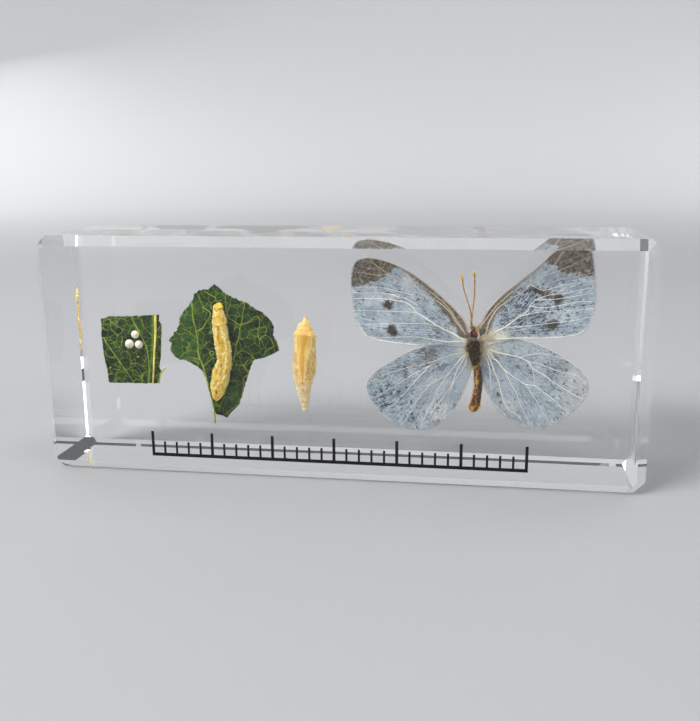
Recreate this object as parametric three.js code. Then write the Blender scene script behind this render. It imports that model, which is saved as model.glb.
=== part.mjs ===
// A clear resin paperweight block that holds a mounted butterfly and its earlier stages.
//
// Frame: millimetres, +Z up, X along the length, the display face looks towards -Y.
// The origin is the middle of the underside.
//
// The block was cast, sawn and polished by hand. Its edges and its front corners are flats
// that were ground on at slightly different widths, so each has its own value below.
import * as THREE from 'three';
import { ConvexGeometry } from 'three/addons/geometries/ConvexGeometry.js';

// Overall size
const LENGTH = 120;
const DEPTH = 29;
const HEIGHT = 48.5;

// Bevels at 45 degrees, each measured along the faces that it joins
const FRONT_BEVEL = 1.95;       // display face to top, underside and right side
const FRONT_LEFT_BEVEL = 1.2;   // display face to left side
const SIDE_BEVEL = 1.85;        // the four edges that run from front to back
const BACK_BEVEL = 0.8;         // all round the back face

// Flats on the corners of the display face. The flat is the plane where
// weight . (distances from the side, the front and the top or underside) = reach.
const CORNER_FLATS = [
  { side: -1, level: 1, weight: [1.2, 1.6, 1.0], reach: 4.2 },
  { side: 1, level: 1, weight: [2.75, 3.8, 1.0], reach: 8.8 },
  { side: -1, level: -1, weight: [1.0, 1.0, 1.0], reach: 3.4 },
  { side: 1, level: -1, weight: [1.0, 1.0, 1.0], reach: 4.4 },
];

const TOLERANCE = 1e-6;

const half = new THREE.Vector3(LENGTH / 2, DEPTH / 2, HEIGHT / 2);
const centre = new THREE.Vector3(0, 0, HEIGHT / 2);

// The plane whose distances from the box's own faces, on the sides that signs picks,
// add up to reach once each is multiplied by its weight. Its normal points out of the block.
function cutPlane(signs, weight, reach) {
  const normal = new THREE.Vector3(signs[0] * weight[0], signs[1] * weight[1], signs[2] * weight[2]);
  const edge = new THREE.Vector3(signs[0] * half.x, signs[1] * half.y, signs[2] * half.z);
  const limit = normal.dot(edge) - reach + normal.dot(centre);
  const size = normal.length();
  return new THREE.Plane(normal.divideScalar(size), -limit / size);
}

function blockPlanes() {
  const planes = [];
  for (const sign of [-1, 1]) {
    planes.push(cutPlane([sign, 0, 0], [1, 0, 0], 0));
    planes.push(cutPlane([0, sign, 0], [0, 1, 0], 0));
    planes.push(cutPlane([0, 0, sign], [0, 0, 1], 0));
  }
  for (const side of [-1, 1]) {
    const frontSideBevel = side < 0 ? FRONT_LEFT_BEVEL : FRONT_BEVEL;
    planes.push(cutPlane([side, -1, 0], [1, 1, 0], frontSideBevel));
    planes.push(cutPlane([side, 1, 0], [1, 1, 0], BACK_BEVEL));
    for (const level of [-1, 1]) {
      planes.push(cutPlane([side, 0, level], [1, 0, 1], SIDE_BEVEL));
    }
  }
  for (const level of [-1, 1]) {
    planes.push(cutPlane([0, -1, level], [0, 1, 1], FRONT_BEVEL));
    planes.push(cutPlane([0, 1, level], [0, 1, 1], BACK_BEVEL));
  }
  for (const flat of CORNER_FLATS) {
    planes.push(cutPlane([flat.side, -1, flat.level], flat.weight, flat.reach));
  }
  return planes;
}

// The point where three planes meet, or null where two of them are parallel.
function meeting(a, b, c) {
  const crossBC = new THREE.Vector3().crossVectors(b.normal, c.normal);
  const crossCA = new THREE.Vector3().crossVectors(c.normal, a.normal);
  const crossAB = new THREE.Vector3().crossVectors(a.normal, b.normal);
  const volume = a.normal.dot(crossBC);
  if (Math.abs(volume) < TOLERANCE) return null;
  return new THREE.Vector3()
    .addScaledVector(crossBC, -a.constant)
    .addScaledVector(crossCA, -b.constant)
    .addScaledVector(crossAB, -c.constant)
    .divideScalar(volume);
}

// The corners of the block: each place where three planes meet that no plane cuts away.
function blockCorners(planes) {
  const corners = [];
  for (let i = 0; i < planes.length; i += 1) {
    for (let j = i + 1; j < planes.length; j += 1) {
      for (let k = j + 1; k < planes.length; k += 1) {
        const point = meeting(planes[i], planes[j], planes[k]);
        if (point === null) continue;
        const kept = planes.every((plane) => plane.distanceToPoint(point) < TOLERANCE);
        const known = corners.some((corner) => corner.distanceTo(point) < TOLERANCE);
        if (kept && !known) corners.push(point);
      }
    }
  }
  return corners;
}

const clearResin = new THREE.MeshStandardMaterial({
  name: 'clear_resin',
  color: 0xf2f5f8,
  roughness: 0.02,
  metalness: 0,
  transparent: true,
  opacity: 0.3,
});

const block = new THREE.Mesh(new ConvexGeometry(blockCorners(blockPlanes())), clearResin);
block.name = 'resin_block';

const specimenBlock = new THREE.Group();
specimenBlock.name = 'specimen_block';
specimenBlock.add(block);

export default specimenBlock;
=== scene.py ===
"""A clear resin block with a spread white butterfly and its earlier stages sealed in it.

The block itself is the CAD node. This script gives it its resin and makes what is sealed in it:
a leaf square with eggs, a leaf with a larva, a chrysalis and the butterfly, and the printed
scale on the display face.

Lengths are millimetres, and tenths of one inside xz(). X runs along the block, Z is up, and the
display face looks towards -Y. Outlines and veins are (x, z) points in the specimens' plane.
"""
import math

import bpy
import numpy as np
from mathutils import Matrix, Vector


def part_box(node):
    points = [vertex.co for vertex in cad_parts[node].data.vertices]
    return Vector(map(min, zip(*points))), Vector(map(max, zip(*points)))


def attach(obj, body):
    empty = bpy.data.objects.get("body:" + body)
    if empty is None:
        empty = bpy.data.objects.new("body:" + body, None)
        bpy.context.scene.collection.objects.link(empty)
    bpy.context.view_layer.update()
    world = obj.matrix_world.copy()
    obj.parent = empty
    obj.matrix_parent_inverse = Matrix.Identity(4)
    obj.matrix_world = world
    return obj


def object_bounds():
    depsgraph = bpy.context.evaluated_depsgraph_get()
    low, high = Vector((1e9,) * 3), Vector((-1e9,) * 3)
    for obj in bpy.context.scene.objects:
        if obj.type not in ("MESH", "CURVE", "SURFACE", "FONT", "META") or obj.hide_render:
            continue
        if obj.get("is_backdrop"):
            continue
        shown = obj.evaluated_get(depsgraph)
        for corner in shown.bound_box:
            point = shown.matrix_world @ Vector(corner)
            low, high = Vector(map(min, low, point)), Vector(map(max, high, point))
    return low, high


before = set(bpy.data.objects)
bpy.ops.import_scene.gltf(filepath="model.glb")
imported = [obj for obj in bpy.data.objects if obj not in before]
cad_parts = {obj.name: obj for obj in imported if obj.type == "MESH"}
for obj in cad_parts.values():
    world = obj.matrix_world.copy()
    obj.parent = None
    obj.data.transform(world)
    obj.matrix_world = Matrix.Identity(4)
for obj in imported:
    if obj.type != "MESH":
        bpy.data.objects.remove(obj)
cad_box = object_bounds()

MM = 0.001
BODY = "root"
SEALED_GLOSS = 0.14
SPAN_STEPS = 25
OUTLINE_STEPS = 500
WAVES = 14

# ---------------------------------------- shapes as numpy arrays


def xz(*tenths):
    """The (x, z) points of a line, from x and z in turn in tenths of a millimetre."""
    return np.reshape(tenths, (-1, 2)) / 10


def smooth_line(points, count, closed=False, curl=1.0):
    """A curve through the points, sampled at count places equally far apart. Each span goes from a
    straight line, at curl 0, to the cubic whose slope at a point is half the step between its
    neighbours, at curl 1."""
    points = np.asarray(points, float)
    if closed:
        padded = np.vstack([points[-1], points, points[:2]])
    else:
        padded = np.vstack([2 * points[0] - points[1], points, 2 * points[-1] - points[-2]])
    share = np.linspace(0, 1, SPAN_STEPS)[None, :, None]
    a, b, c, d = (padded[k:len(padded) - 3 + k, None, :] for k in range(4))
    fine = 0.5 * (2 * b + (c - a) * share + (2 * a - 5 * b + 4 * c - d) * share**2
                  + (3 * b - a - 3 * c + d) * share**3)
    fine = curl * fine + (1 - curl) * (b + (c - b) * share)
    fine = fine.reshape(-1, points.shape[1])
    along = np.concatenate([[0], np.cumsum(np.linalg.norm(np.diff(fine, axis=0), axis=1))])
    places = np.linspace(0, along[-1], count, endpoint=not closed)
    return np.stack([np.interp(places, along, column) for column in fine.T], axis=1)


def ripples(points, size, seed):
    """Smooth noise between about -1 and 1: the mean of plane waves in random directions, with
    lengths around size."""
    draw = np.random.default_rng(seed)
    listed = points.reshape(-1, points.shape[-1])
    aim = draw.normal(size=(WAVES, listed.shape[1]))
    aim /= np.linalg.norm(aim, axis=1, keepdims=True)
    rate = 2 * np.pi / (size * draw.uniform(0.6, 1.7, WAVES))
    phase = draw.uniform(0, 2 * np.pi, WAVES)
    height = np.sin(listed @ aim.T * rate + phase).sum(axis=1) * math.sqrt(2 / WAVES)
    return 0.6 * height.reshape(points.shape[:-1])


def creased(points, size, seed):
    """Sharp creases: 1 less the size of the ripples, so 1 along their zero lines."""
    return 1 - np.abs(ripples(points, size, seed))


def ease(low, high, value):
    """0 below low, 1 above high and a smooth S between: 3t^2 - 2t^3."""
    t = unit((value - low) / (high - low))
    return t * t * (3 - 2 * t)


def unit(value):
    """The value, held between 0 and 1."""
    return np.clip(value, 0, 1)


def bell(t):
    """1 at zero and falling away on both sides: e to the power of minus t squared."""
    return np.exp(-t**2)


def blobs(x, z, spots):
    """The sum of round soft spots, each (x, z, radius, strength): strength times a bell of the
    distance over the radius."""
    total = np.zeros_like(x)
    for spot_x, spot_z, radius, strength in spots:
        total = total + strength * np.exp(-((x - spot_x)**2 + (z - spot_z)**2) / radius**2)
    return total


def flat(x, z):
    """Points in the specimens' plane, as ripples takes them."""
    return np.stack([x, z], axis=-1)


def upright(line, y):
    """A flat line stood up in the block at the depth y."""
    return np.stack(np.broadcast_arrays(line[:, 0], y, line[:, 1]), axis=1)


def angles(sides):
    """The angles of the sides of a ring."""
    return np.linspace(0, 2 * np.pi, sides, endpoint=False)[None, :]


def around(angle, z, girth, pull):
    """Points on a round bar: girth is its radius, and pull stretches its length."""
    return np.stack(np.broadcast_arrays(girth * np.cos(angle), girth * np.sin(angle), pull * z), axis=-1)


def between(left, right, top, bottom, rings):
    """Middles, half widths and heights of rings stacked evenly between two outlines."""
    height = np.linspace(top, bottom, rings)
    low, high = (line_x(height, smooth_line(points, OUTLINE_STEPS)) for points in (left, right))
    return 0.5 * (low + high), np.maximum(0.5 * (high - low), 0.05), height


def line_x(z, line):
    """The x of a line at each height z; the line runs from high to low."""
    return np.interp(-z, -line[:, 1], line[:, 0])


def stroke(x, z, line, width, strength=1.0):
    """strength on the line, falling as a bell with the distance from it over width."""
    return strength * bell(line_gap(x, z, line) / width)


def line_gap(x, z, line):
    """The distance from each point to the nearest place on a line of straight spans."""
    start, span = line[:-1], np.diff(line, axis=0)
    gap_x = x.reshape(-1, 1) - start[:, 0]
    gap_z = z.reshape(-1, 1) - start[:, 1]
    share = unit((gap_x * span[:, 0] + gap_z * span[:, 1]) / (span**2).sum(axis=1))
    gap = np.hypot(gap_x - share * span[:, 0], gap_z - share * span[:, 1])
    return gap.min(axis=1).reshape(x.shape)


def skin(rows, values=None):
    """A closed skin over a stack of rings. rows is (rings, sides, 3); the two end rings close on
    their own middles. The faces are turned so that the volume they hold is positive."""
    rings, sides, _ = rows.shape
    points = np.vstack([rows.reshape(-1, 3), rows[0].mean(axis=0), rows[-1].mean(axis=0)])
    near, beside = ring_corners(rings, sides)
    side = np.arange(sides)
    after = (side + 1) % sides
    first = np.full(sides, rings * sides)
    last_ring = (rings - 1) * sides
    faces = np.vstack([np.stack(corners, axis=1) for corners in (
        (near, beside, beside + sides), (near, beside + sides, near + sides),
        (first, after, side), (first + 1, last_ring + side, last_ring + after))])
    a, b, c = (points[faces[:, k]] for k in range(3))
    if (a * np.cross(b, c)).sum() < 0:
        faces = faces[:, ::-1]
    kept = {}
    for key, value in (values or {}).items():
        value = np.broadcast_to(value, (rings, sides))
        kept[key] = np.concatenate([value.ravel(), [value[0].mean(), value[-1].mean()]])
    return {"points": points, "faces": faces, "values": kept}


def ring_corners(rings, sides):
    """The numbers of each face's corner on a stack of rings and of the corner beside it."""
    ring, side = np.meshgrid(np.arange(rings - 1), np.arange(sides), indexing="ij")
    return (ring * sides + side).ravel(), (ring * sides + (side + 1) % sides).ravel()


def tube(path, across, deep=None, sides=10, up=(0, 1, 0), relief=1.0, values=None):
    """A closed skin along a path. Each ring is an ellipse square to the path: across is its half
    width, deep its half size along up, and relief multiplies both at each angle. Angle 0 points
    across and a quarter turn points along up."""
    ahead = np.gradient(path, axis=0)
    ahead /= np.linalg.norm(ahead, axis=1, keepdims=True)
    wide = np.cross(ahead, np.asarray(up, float))
    wide /= np.linalg.norm(wide, axis=1, keepdims=True)
    tall = np.cross(wide, ahead)
    across = np.broadcast_to(across, len(path))[:, None, None]
    deep = across if deep is None else np.broadcast_to(deep, len(path))[:, None, None]
    angle = angles(sides)[:, :, None]
    grow = np.broadcast_to(relief, (len(path), sides))[:, :, None]
    rows = path[:, None, :] + grow * (across * np.cos(angle) * wide[:, None, :]
                                      + deep * np.sin(angle) * tall[:, None, :])
    return skin(rows, values)


def sheet(outline, hub, thickness, lift, rings, columns, ragged, paint, curl):
    """A thin closed sheet. Spokes run from the hub to a smooth rim through the outline, longer or
    shorter by ragged, lift(x, z) moves the sheet along Y, and the thickness falls to nothing at
    the rim as the square root of what is left of the spoke. paint(x, z) names its values."""
    spoke = smooth_line(outline, columns, closed=True, curl=curl) - np.asarray(hub, float)
    reach = np.linalg.norm(spoke, axis=1, keepdims=True)
    spoke = spoke * (1 + np.broadcast_to(ragged, columns)[:, None] / reach)
    share = np.linspace(0, 1, rings + 1)[1:, None, None]**0.85
    place = hub + share * spoke
    x, z = place[..., 0], place[..., 1]
    middle = lift(x, z)
    half = 0.5 * thickness * np.sqrt(unit(1 - share[..., 0]**6)) * np.ones_like(x)
    front, back = (np.stack([x, middle + side, z], axis=-1) for side in (-half, half))
    rows = np.concatenate([front, back[-2::-1]])
    return skin(rows, paint(rows[..., 0], rows[..., 2]))


# Corners of one hair: 0 to 2 at its root, 3 to 5 half way and 6 at its tip.
HAIR_POINTS = 7
HAIR_FACES = np.array([[0, 2, 1], [0, 1, 4], [0, 4, 3], [1, 2, 5], [1, 5, 4], [2, 0, 3], [2, 3, 5],
                       [3, 4, 6], [4, 5, 6], [5, 3, 6]])


def hairs(roots, aims, lengths, width, droop, seed):
    """Fine tapered hairs: three-sided, two rings and a tip. Each runs from its root along its aim
    and bends by droop times the square of the share of its length."""
    draw = np.random.default_rng(seed)
    count = len(roots)
    aims = aims / np.linalg.norm(aims, axis=1, keepdims=True)
    side = np.cross(aims, draw.normal(size=(count, 3)))
    side /= np.linalg.norm(side, axis=1, keepdims=True)
    other = np.cross(aims, side)
    lengths = np.broadcast_to(lengths, count)[:, None]
    droop = np.broadcast_to(droop, (count, 3))
    turn = np.array([0, 2, 4]) * np.pi / 3
    ring = width * (np.cos(turn)[None, :, None] * side[:, None]
                    + np.sin(turn)[None, :, None] * other[:, None])
    middle = roots + 0.5 * lengths * aims + 0.25 * lengths * droop
    tip = roots + lengths * aims + lengths * droop
    points = np.concatenate([roots[:, None] + ring, middle[:, None] + 0.7 * ring, tip[:, None]], axis=1)
    faces = (HAIR_FACES[None] + HAIR_POINTS * np.arange(count)[:, None, None]).reshape(-1, 3)
    tones = np.repeat(draw.uniform(0, 1, count), HAIR_POINTS)
    return {"points": points.reshape(-1, 3), "faces": faces, "values": {"tone": tones}}


def piece(name, shapes, material, smooth=True):
    """One object from closed shapes: their points, triangles and values joined end to end."""
    points = np.concatenate([shape["points"] for shape in shapes])
    shift = np.cumsum([0] + [len(shape["points"]) for shape in shapes[:-1]])
    faces = np.concatenate([shape["faces"] + start for shape, start in zip(shapes, shift)])
    mesh = bpy.data.meshes.new(name)
    mesh.vertices.add(len(points))
    mesh.vertices.foreach_set("co", (points * MM).astype(np.float32).ravel())
    mesh.loops.add(faces.size)
    mesh.loops.foreach_set("vertex_index", faces.astype(np.int32).ravel())
    mesh.polygons.add(len(faces))
    mesh.polygons.foreach_set("loop_start", np.arange(0, faces.size, 3, dtype=np.int32))
    mesh.update(calc_edges=True)
    mesh.polygons.foreach_set("use_smooth", np.full(len(faces), smooth))
    for key in sorted({key for shape in shapes for key in shape["values"]}):
        parts = [shape["values"].get(key, np.zeros(len(shape["points"]))) for shape in shapes]
        layer = mesh.attributes.new(key, "FLOAT", "POINT")
        layer.data.foreach_set("value", np.concatenate(parts).astype(np.float32))
    mesh.materials.append(material)
    made = bpy.data.objects.new(name, mesh)
    bpy.context.collection.objects.link(made)
    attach(made, BODY)


# ---------------------------------------- materials


class Wires:
    """A node tree being wired, and short ways to add nodes to it and join them."""

    def __init__(self, tree):
        self.tree = tree

    def node(self, kind, **settings):
        """A new node of a kind, with its settings."""
        node = self.tree.nodes.new("ShaderNode" + kind)
        for name, value in settings.items():
            setattr(node, name, value)
        return node

    def put(self, node, socket, value):
        """Joins a socket to an output, or gives it a plain value."""
        if isinstance(value, bpy.types.NodeSocket):
            self.tree.links.new(value, node.inputs[socket])
        else:
            node.inputs[socket].default_value = value

    def fill(self, node, *values, **named):
        """Fills a node's sockets, the first ones in turn and others by name."""
        for socket, value in [*enumerate(values), *named.items()]:
            self.put(node, socket.replace("_", " ") if isinstance(socket, str) else socket, value)
        return node

    def place(self):
        return self.node("TexCoord").outputs["Object"]

    def value(self, name):
        return self.node("Attribute", attribute_name=name).outputs["Fac"]

    def maths(self, kind, first, second):
        return self.fill(self.node("Math", operation=kind), first, second).outputs[0]

    def total(self, *terms):
        """The sum of its terms, each a socket or a (socket, times) pair."""
        parts = [self.maths("MULTIPLY", *term) if isinstance(term, tuple) else term for term in terms]
        while len(parts) > 1:
            parts[:2] = [self.maths("ADD", *parts[:2])]
        return parts[0]

    def noise(self, size, detail=3.0, rough=0.55, vector=None):
        """Noise whose lumps are about size millimetres across."""
        node = self.node("TexNoise")
        scale = self.maths("DIVIDE", 1 / MM, size)
        self.fill(node, Vector=vector or self.place(), Scale=scale, Detail=detail, Roughness=rough)
        return node.outputs["Fac"]

    def cells(self, size, vector=None):
        """The distance to the edges of cells about size millimetres across, as a share of size."""
        node = self.node("TexVoronoi", feature="DISTANCE_TO_EDGE")
        return self.fill(node, Vector=vector or self.place(), Scale=1 / (size * MM)).outputs["Distance"]

    def window(self, value, low, high, out_low=0.0, out_high=1.0):
        """out_low below low, out_high above high and a smooth S between."""
        node = self.node("MapRange", interpolation_type="SMOOTHSTEP")
        return self.fill(node, value, low, high, out_low, out_high).outputs["Result"]

    def blend(self, share, first, second):
        node = self.node("Mix", data_type="RGBA")
        for socket, value in ((0, share), (6, first), (7, second)):
            self.put(node, socket, value)
        return node.outputs[2]


class Effect(Wires):
    """A shared effect: a shader node group with named inputs, built once and placed in each
    material that uses it. Colours are the inputs called Dark and Light."""

    def __init__(self, name, given, made):
        super().__init__(bpy.data.node_groups.new(name, "ShaderNodeTree"))
        for label in given + [made]:
            kind = "NodeSocketColor" if label in ("Dark", "Light", "Colour") else "NodeSocketFloat"
            side = "OUTPUT" if label == made else "INPUT"
            self.tree.interface.new_socket(label, in_out=side, socket_type=kind)
        self.given = self.tree.nodes.new("NodeGroupInput").outputs
        self.made = self.tree.nodes.new("NodeGroupOutput")


def mottle_effect():
    """Two colours mixed by noise: all Dark below Low, all Light above High."""
    effect = Effect("mottle", ["Lump Size", "Detail", "Low", "High", "Dark", "Light"], "Colour")
    size, detail, low, high, dark, light = list(effect.given)[:6]
    lumps = effect.window(effect.noise(size, detail), low, high)
    effect.put(effect.made, "Colour", effect.blend(lumps, dark, light))
    return effect.tree


def grain_effect():
    """A rough height: noise at Lump Size, with a quarter as much again from lumps a third of it."""
    effect = Effect("grain", ["Lump Size", "Detail"], "Height")
    size, detail = list(effect.given)[:2]
    fine = effect.noise(effect.maths("MULTIPLY", size, 0.33), detail)
    effect.put(effect.made, "Height", effect.total(effect.noise(size, detail), (fine, 0.25)))
    return effect.tree


MOTTLE = mottle_effect()
GRAIN = grain_effect()


class Surface(Wires):
    """A material being wired around its Principled shader, over a ground colour."""

    def __init__(self, name):
        self.material = bpy.data.materials.new(name)
        self.material.use_nodes = True
        super().__init__(self.material.node_tree)
        self.shader = self.tree.nodes["Principled BSDF"]

    def mottle(self, size, dark, light, low=0.36, high=0.64, detail=3.0):
        node = self.node("Group", node_tree=MOTTLE)
        return self.fill(node, size, detail, low, high, dark, light).outputs["Colour"]

    def grain(self, size, detail=3.0):
        return self.fill(self.node("Group", node_tree=GRAIN), size, detail).outputs["Height"]

    def over(self, share, colour):
        """Lays a colour over the ground. Its share is a socket or the name of a value."""
        if isinstance(share, str):
            share = self.value(share)
        self.ground = self.blend(share, self.ground, colour)

    def done(self, height=None, depth=0.0, strength=1.0, **sockets):
        """Joins the ground colour, a bump depth millimetres deep and plain socket values."""
        if height is not None:
            bump = self.fill(self.node("Bump"), Height=height, Distance=depth * MM, Strength=strength)
            self.put(self.shader, "Normal", bump.outputs[0])
        self.fill(self.shader, Base_Color=self.ground, **{"Specular_IOR_Level": SEALED_GLOSS, **sockets})
        return self.material


def tone(red, green, blue):
    return (red, green, blue, 1.0)


def resin():
    """Water-clear resin: plain glass, with a trace of absorption."""
    s = Surface("clear_resin")
    volume = s.fill(s.node("VolumeAbsorption"), Color=tone(0.86, 0.93, 1.0), Density=1.6)
    s.put(s.tree.nodes["Material Output"], "Volume", volume.outputs[0])
    s.ground = tone(1, 1, 1)
    return s.done(Roughness=0.0, IOR=1.49, Transmission_Weight=1.0, Specular_IOR_Level=0.5)


def wing_scales():
    """Wing membrane dusted with scales: pale blue-grey with fine light fibres that fan out from the
    root, dark slate flecks that gather where dust is high, brown-grey patches where dark is high,
    and cream margins. The values reach and sweep are the distance from the root and across the fan."""
    s = Surface("wing_scales")
    fan = s.fill(s.node("CombineXYZ"), s.maths("MULTIPLY", s.value("reach"), 0.35 * MM),
                 s.maths("MULTIPLY", s.value("sweep"), MM)).outputs[0]
    s.ground = s.mottle(3.5, tone(0.255, 0.318, 0.375), tone(0.40, 0.465, 0.505))
    s.over(s.window(s.noise(0.42, 3, 0.6, fan), 0.50, 0.68, 0.0, 0.7), tone(0.62, 0.66, 0.69))
    s.over(s.window(s.noise(0.5, 3, 0.6), 0.56, 0.70, 0.0, 0.45), tone(0.70, 0.73, 0.74))
    s.over("cream", tone(0.84, 0.81, 0.68))
    flecks = s.total((s.noise(0.38, 3, 0.7, fan), 0.52), (s.noise(0.38, 2, 0.6), 0.28),
                     (s.noise(1.6, 2, 0.6), 0.20), (s.value("dust"), 0.09))
    s.over(s.window(flecks, 0.55, 0.63, 0.0, 0.9), tone(0.034, 0.042, 0.064))
    brown = s.mottle(0.55, tone(0.085, 0.070, 0.053), tone(0.215, 0.183, 0.138))
    sparkle = s.window(s.noise(0.45, 2, 0.55, fan), 0.58, 0.70, 0.0, 0.55)
    brown = s.blend(sparkle, brown, tone(0.50, 0.46, 0.38))
    brown = s.blend(s.value("spot"), brown, tone(0.032, 0.027, 0.024))
    edge = s.total(s.value("dark"), (s.noise(0.7, 3, 0.65), 0.6))
    s.over(s.window(edge, 0.46, 1.0), brown)
    return s.done(s.grain(0.4), 0.06, 0.6, Roughness=0.55)


def wing_vein():
    """Cream vein, browner where its value tan is high."""
    ground = 0.8, tone(0.86, 0.80, 0.66), tone(0.95, 0.92, 0.82)
    layers = {"tan": tone(0.36, 0.20, 0.075)}
    return plain_skin("wing_vein", ground, layers, (0.4, 2), 0.04, 0.5, Roughness=0.4)


def insect_hair(name, dark, light):
    """Hair between two colours, one tone for each hair, with faint bands."""
    s = Surface(name)
    s.ground = dark
    s.over("tone", s.mottle(0.3, tuple(0.8 * part for part in light), light))
    return s.done(Roughness=0.45)


def plain_skin(name, mottle, layers, grain, depth, strength, **sockets):
    """A mottled ground, a layer of colour for each named value, and a grained bump."""
    s = Surface(name)
    s.ground = s.mottle(*mottle)
    for value, colour in layers.items():
        s.over(value, colour)
    return s.done(s.grain(*grain), depth, strength, **sockets)


def thorax_skin():
    ground = 0.7, tone(0.006, 0.004, 0.003), tone(0.055, 0.027, 0.008), 0.42, 0.68
    return plain_skin("thorax_skin", ground, {}, (0.4,), 0.15, 0.8, Roughness=0.32)


def abdomen_skin():
    """Dried brown skin, amber on the claspers and round the tip and as painted highlight on the ridges
    and the left side, with painted shade down the right side and in the folds.
    """
    ground = 1.0, tone(0.15, 0.052, 0.010), tone(0.44, 0.19, 0.04), 0.38, 0.62
    # The first layer is painted shade; the second is amber, on the body as painted highlight.
    layers = {"fold": tone(0.030, 0.013, 0.005), "pale": tone(0.78, 0.46, 0.16)}
    return plain_skin("abdomen_skin", ground, layers, (0.4,), 0.12, 0.8, Roughness=0.3)


def antenna_skin():
    ground = 0.5, tone(0.30, 0.13, 0.012), tone(0.50, 0.27, 0.035)
    layers = {"club": tone(0.92, 0.55, 0.03)}
    return plain_skin("antenna_skin", ground, layers, (0.15, 2), 0.03, 0.5, Roughness=0.35)


def eye_skin():
    s = Surface("eye_skin")
    facets = s.window(s.cells(0.12), 0.0, 0.25)
    s.ground = tone(0.08, 0.010, 0.002)
    s.over(facets, tone(0.34, 0.060, 0.010))
    return s.done(facets, 0.02, 0.6, Roughness=0.3, Coat_Weight=0.3)


def leaf_skin():
    """Pressed leaf: deep green under a net of yellow-green veinlets at two sizes. The net's place
    is shifted by coloured noise, so that its lines bend."""
    s = Surface("leaf_skin")
    noise = s.fill(s.node("TexNoise"), Vector=s.place(), Scale=1 / (2.4 * MM), Detail=1.0)
    bent = s.fill(s.node("VectorMath", operation="MULTIPLY_ADD"), noise.outputs["Color"], (0.7 * MM,) * 3,
                  s.place()).outputs[0]
    net = s.window(s.cells(1.7, bent), 0.012, 0.036, 1.0, 0.0)
    fine_net = s.window(s.cells(0.85, bent), 0.015, 0.06, 1.0, 0.0)
    shown = s.window(s.noise(2.2, 2), 0.32, 0.55, 0.35, 1.0)
    s.ground = s.mottle(2.2, tone(0.001, 0.007, 0.0003), tone(0.008, 0.038, 0.001), detail=4)
    s.over("pale", s.mottle(1.4, tone(0.009, 0.045, 0.003), tone(0.034, 0.110, 0.014), detail=4))
    s.over(s.maths("MULTIPLY", fine_net, s.maths("MULTIPLY", shown, 0.38)), tone(0.07, 0.15, 0.010))
    s.over(s.maths("MULTIPLY", net, shown), tone(0.20, 0.29, 0.020))
    s.over("midrib", tone(0.15, 0.33, 0.035))
    return s.done(s.total((net, 0.6), (fine_net, 0.3), s.grain(0.9, 4)), 0.18, 0.8, Roughness=0.42)


def leaf_vein():
    s = Surface("leaf_vein")
    s.ground = s.mottle(1.4, tone(0.20, 0.28, 0.015), tone(0.42, 0.48, 0.035))
    s.over("tan", s.mottle(0.9, tone(0.74, 0.60, 0.09), tone(0.90, 0.80, 0.20)))
    return s.done(s.grain(0.4), 0.04, 0.6, Roughness=0.4)


def egg_shell():
    ground = 0.9, tone(0.90, 0.80, 0.58), tone(0.97, 0.92, 0.80)
    return plain_skin("egg_shell", ground, {"stripe": tone(0.86, 0.55, 0.26)}, (0.2, 2), 0.02, 0.5,
                      Roughness=0.35, Subsurface_Weight=0.2, Subsurface_Scale=0.4 * MM)


def larva_skin():
    """Dried golden skin: deeper golden in the grooves (painted shade), cream on the ridges (painted
    highlight) and brown in the pits, with fine creases of its own, painted with both."""
    s = Surface("larva_skin")
    creases = s.noise(0.7, 4, 0.6)
    s.ground = s.mottle(1.0, tone(0.88, 0.50, 0.010), tone(0.98, 0.70, 0.060), detail=4)
    # Painted shade: deeper golden in the grooves.
    s.over("groove", tone(0.64, 0.36, 0.004))
    # Painted highlight: cream on the ridges.
    s.over("ridge", tone(1.0, 0.86, 0.36))
    # Painted highlight on the tops of the fine creases, then painted shade in their hollows; the same noise
    # is the bump.
    s.over(s.window(creases, 0.56, 0.64, 0.0, 0.65), tone(1.0, 0.92, 0.50))
    s.over(s.window(creases, 0.34, 0.44, 0.5, 0.0), tone(0.60, 0.31, 0.004))
    s.over("pit", tone(0.16, 0.07, 0.012))
    return s.done(creases, 0.35, 1.0, Roughness=0.34, Coat_Weight=0.25, Coat_Roughness=0.3,
                  Specular_IOR_Level=0.35)


def chrysalis_skin():
    """Thin tan shell: pale golden wing cases, a golden-orange tongue with painted shade along its seams,
    cream lips and tail, and painted highlight and painted shade on the flank creases.
    """
    s = Surface("chrysalis_skin")
    s.ground = s.mottle(1.0, tone(0.86, 0.52, 0.12), tone(0.98, 0.71, 0.25), detail=4)
    s.over("case", s.mottle(1.8, tone(0.84, 0.51, 0.09), tone(0.95, 0.66, 0.18)))
    s.over("pale", s.mottle(0.8, tone(0.80, 0.54, 0.22), tone(0.98, 0.82, 0.50)))
    # Golden orange, and painted shade along the seams.
    s.over("gold", tone(0.74, 0.35, 0.030))
    # Cream lips, and painted highlight on the crease tops.
    s.over("ridge", tone(1.0, 0.86, 0.50))
    # Dark marks, and painted shade in the crease hollows.
    s.over("dark", tone(0.46, 0.20, 0.030))
    return s.done(s.grain(0.4, 4), 0.05, 0.7, Roughness=0.34, Coat_Weight=0.2, Coat_Roughness=0.25,
                  Specular_IOR_Level=0.3)


def printed_ink():
    ground = 0.4, tone(0.004, 0.004, 0.005), tone(0.012, 0.012, 0.014)
    return plain_skin("printed_ink", ground, {}, (0.2, 2), 0.004, 0.5, Roughness=0.4)


# ---------------------------------------- leaves and eggs

LEAF_PLANE = 0.0
LEAF_THICK, LEAF_CURL = 0.2, 0.45
SQUARE_THICK, SQUARE_CURL = 0.22, 0.1
SQUARE_HUB = (-44.5, 24.0)
VEIN_STAND = 0.09
MIDRIB_RADIUS = 0.27
EGG_RIBS, EGG_SIDES, EGG_RINGS = 14, 84, 40
STALK_DEPTH = -0.35

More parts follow.
